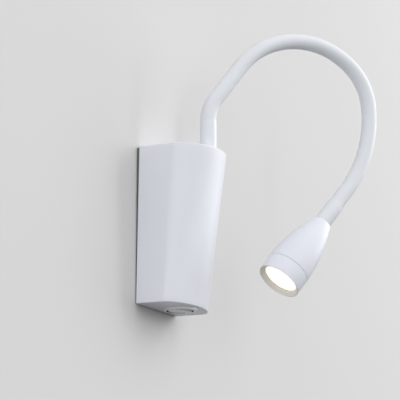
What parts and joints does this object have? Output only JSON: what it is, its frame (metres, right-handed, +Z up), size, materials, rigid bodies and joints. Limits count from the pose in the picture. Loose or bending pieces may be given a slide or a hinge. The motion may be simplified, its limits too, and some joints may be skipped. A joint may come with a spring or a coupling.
{
  "type": "wall reading lamp",
  "caption": "White wall-mounted bedside reading lamp with a tapered housing, a flexible gooseneck arm, a small bullet-shaped spot head and a rocker switch underneath.",
  "frame": {"origin": "on the wall plane, in the middle of the back of the housing", "axes": "+Z up, +Y into the wall, +X along the wall"},
  "size_m": [0.169, 0.1511, 0.2477],
  "materials": {
    "white_paint": "satin powder coat",
    "sleeve_white": "smooth satin",
    "bare_steel": "zinc plated",
    "black_rubber": "matte",
    "white_plastic": "semi-gloss",
    "grey_plastic": "fine texture",
    "brass": "plain",
    "lead_brown": "smooth",
    "lead_blue": "smooth",
    "lead_white": "smooth",
    "bare_aluminium": "turned",
    "board_white": "solder mask",
    "chip_yellow": "silicone",
    "pad_grey": "matte",
    "clear_acrylic": "clear",
    "frosted_acrylic": "frosted"
  },
  "bodies": {
    "wall_unit": {"wall_bracket": "bare_steel", "back_gasket": "black_rubber", "cable_grommet": "black_rubber", "housing": "white_paint", "housing_screws": "bare_steel", "base_collar": "white_paint", "lock_washer": "bare_steel", "neck_nut": "bare_steel", "driver_case": "grey_plastic", "driver_tape": "pad_grey", "terminal_block": "white_plastic", "terminal_screws": "brass", "live_lead": "lead_brown", "switched_lead": "lead_brown", "neutral_lead": "lead_blue", "switch_body": "white_plastic", "switch_tabs": "brass", "neck_core_0": "bare_steel", "neck_lead_0": "lead_white"},
    "switch_rocker": {"switch_rocker": "white_plastic"},
    "neck_1": {"neck_core_1": "bare_steel", "neck_lead_1": "lead_white", "neck_sleeve_1": "sleeve_white"},
    "neck_2": {"neck_core_2": "bare_steel", "neck_lead_2": "lead_white", "neck_sleeve_2": "sleeve_white"},
    "neck_3": {"neck_core_3": "bare_steel", "neck_lead_3": "lead_white", "neck_sleeve_3": "sleeve_white"},
    "neck_4": {"neck_core_4": "bare_steel", "neck_lead_4": "lead_white", "neck_sleeve_4": "sleeve_white"},
    "neck_5": {"neck_core_5": "bare_steel", "neck_lead_5": "lead_white", "neck_sleeve_5": "sleeve_white"},
    "neck_6": {"neck_core_6": "bare_steel", "neck_lead_6": "lead_white", "neck_sleeve_6": "sleeve_white"},
    "neck_7": {"neck_core_7": "bare_steel", "neck_lead_7": "lead_white", "neck_sleeve_7": "sleeve_white"},
    "neck_8": {"neck_core_8": "bare_steel", "neck_lead_8": "lead_white", "neck_sleeve_8": "sleeve_white"},
    "head": {"neck_core_9": "bare_steel", "neck_lead_9": "lead_white", "neck_sleeve_9": "sleeve_white", "head_collar": "white_paint", "head_nut": "bare_steel", "head_shell": "white_paint", "heat_sink": "bare_aluminium", "thermal_pad": "pad_grey", "led_board": "board_white", "led_chip": "chip_yellow", "board_screws": "bare_steel", "lens": "clear_acrylic", "diffuser": "frosted_acrylic", "lens_gasket": "black_rubber", "bezel_ring": "white_paint"}
  },
  "joints": [
    {"name": "neck_bend_1", "type": "hinge", "parent": "wall_unit", "child": "neck_1", "pos_m": [0.00125, -0.04699, 0.09983], "axis": [0.6211, 0.7837, 0], "range_deg": [-45, 3], "deforming": ["neck_sleeve_1"]},
    {"name": "neck_side_swing_low", "type": "hinge", "parent": "neck_1", "child": "neck_2", "pos_m": [0.01432, -0.05735, 0.12461], "axis": [-0.6259, 0.4961, 0.6018], "range_deg": [-50, 50], "deforming": ["neck_sleeve_2"]},
    {"name": "neck_bend_3", "type": "hinge", "parent": "neck_2", "child": "neck_3", "pos_m": [0.03496, -0.07371, 0.1552], "axis": [0.6211, 0.7837, 0], "range_deg": [-37, 8], "deforming": ["neck_sleeve_3"]},
    {"name": "neck_bend_4", "type": "hinge", "parent": "neck_3", "child": "neck_4", "pos_m": [0.06407, -0.09678, 0.1715], "axis": [0.6211, 0.7837, 0], "range_deg": [-36, 9], "deforming": ["neck_sleeve_4"]},
    {"name": "neck_bend_5", "type": "hinge", "parent": "neck_4", "child": "neck_5", "pos_m": [0.09569, -0.12184, 0.16784], "axis": [0.6211, 0.7837, 0], "range_deg": [-41, 6], "deforming": ["neck_sleeve_5"]},
    {"name": "neck_bend_6", "type": "hinge", "parent": "neck_5", "child": "neck_6", "pos_m": [0.11986, -0.141, 0.14215], "axis": [0.6211, 0.7837, 0], "range_deg": [-55, 2], "deforming": ["neck_sleeve_6"]},
    {"name": "neck_bend_7", "type": "hinge", "parent": "neck_6", "child": "neck_7", "pos_m": [0.1238, -0.14412, 0.10213], "axis": [0.6211, 0.7837, 0], "range_deg": [-30, 11], "deforming": ["neck_sleeve_7"]},
    {"name": "neck_bend_8", "type": "hinge", "parent": "neck_7", "child": "neck_8", "pos_m": [0.1138, -0.13619, 0.06342], "axis": [0.6211, 0.7837, 0], "range_deg": [-28, 12], "deforming": ["neck_sleeve_8"]},
    {"name": "neck_side_swing_head", "type": "hinge", "parent": "neck_8", "child": "head", "pos_m": [0.10041, -0.12559, 0.03943], "axis": [-0.609, 0.4827, 0.6293], "range_deg": [-40, 40], "deforming": ["neck_sleeve_9"]},
    {"name": "switch_rock", "type": "hinge", "parent": "wall_unit", "child": "switch_rocker", "pos_m": [0, -0.021, -0.0626], "axis": [-1, 0, 0], "range_deg": [0, 16]}
  ]
}
